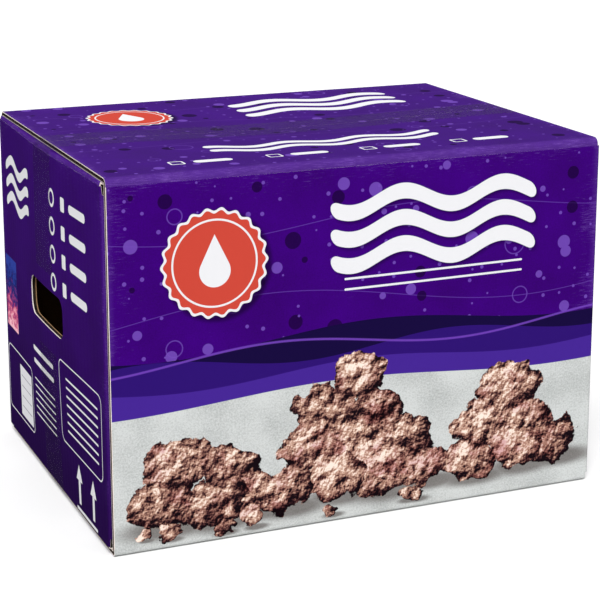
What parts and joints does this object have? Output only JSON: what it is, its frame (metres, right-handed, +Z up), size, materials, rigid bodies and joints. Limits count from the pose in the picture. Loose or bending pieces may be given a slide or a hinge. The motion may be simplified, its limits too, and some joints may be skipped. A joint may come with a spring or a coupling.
{
  "type": "printed corrugated cardboard carton",
  "caption": "Closed and taped cardboard carton with printed walls, a hand hole in each end and two outer top flaps that open.",
  "frame": {"origin": "on the floor, under the middle of the carton's outside box", "axes": "+X along the long side, +Y from the front to the back, +Z up; the front looks along -Y"},
  "size_m": [0.4092, 0.3038, 0.2803],
  "materials": {
    "printed_board": "printed white-top liner, satin ink",
    "bare_board": "plain kraft liner, matt",
    "clear_tape": "clear polypropylene packing tape"
  },
  "bodies": {
    "carton": {"front_panel": "printed_board", "back_panel": "printed_board", "left_end_panel": "printed_board", "right_end_panel": "printed_board", "glue_tab": "bare_board", "front_bottom_flap": "printed_board", "back_bottom_flap": "printed_board", "left_inner_bottom_flap": "printed_board", "right_inner_bottom_flap": "printed_board", "left_inner_top_flap": "printed_board", "right_inner_top_flap": "printed_board", "left_tape_tail": "clear_tape", "right_tape_tail": "clear_tape", "bottom_tape": "clear_tape"},
    "front_flap": {"front_top_flap": "printed_board", "front_top_tape": "clear_tape"},
    "back_flap": {"back_top_flap": "printed_board", "back_top_tape": "clear_tape"}
  },
  "joints": [
    {"name": "front_flap_crease", "type": "hinge", "parent": "carton", "child": "front_flap", "pos_m": [0, -0.15, 0.28], "axis": [1, 0, 0], "range_deg": [0, 240]},
    {"name": "back_flap_crease", "type": "hinge", "parent": "carton", "child": "back_flap", "pos_m": [0, 0.15, 0.28], "axis": [-1, 0, 0], "range_deg": [0, 240]}
  ]
}
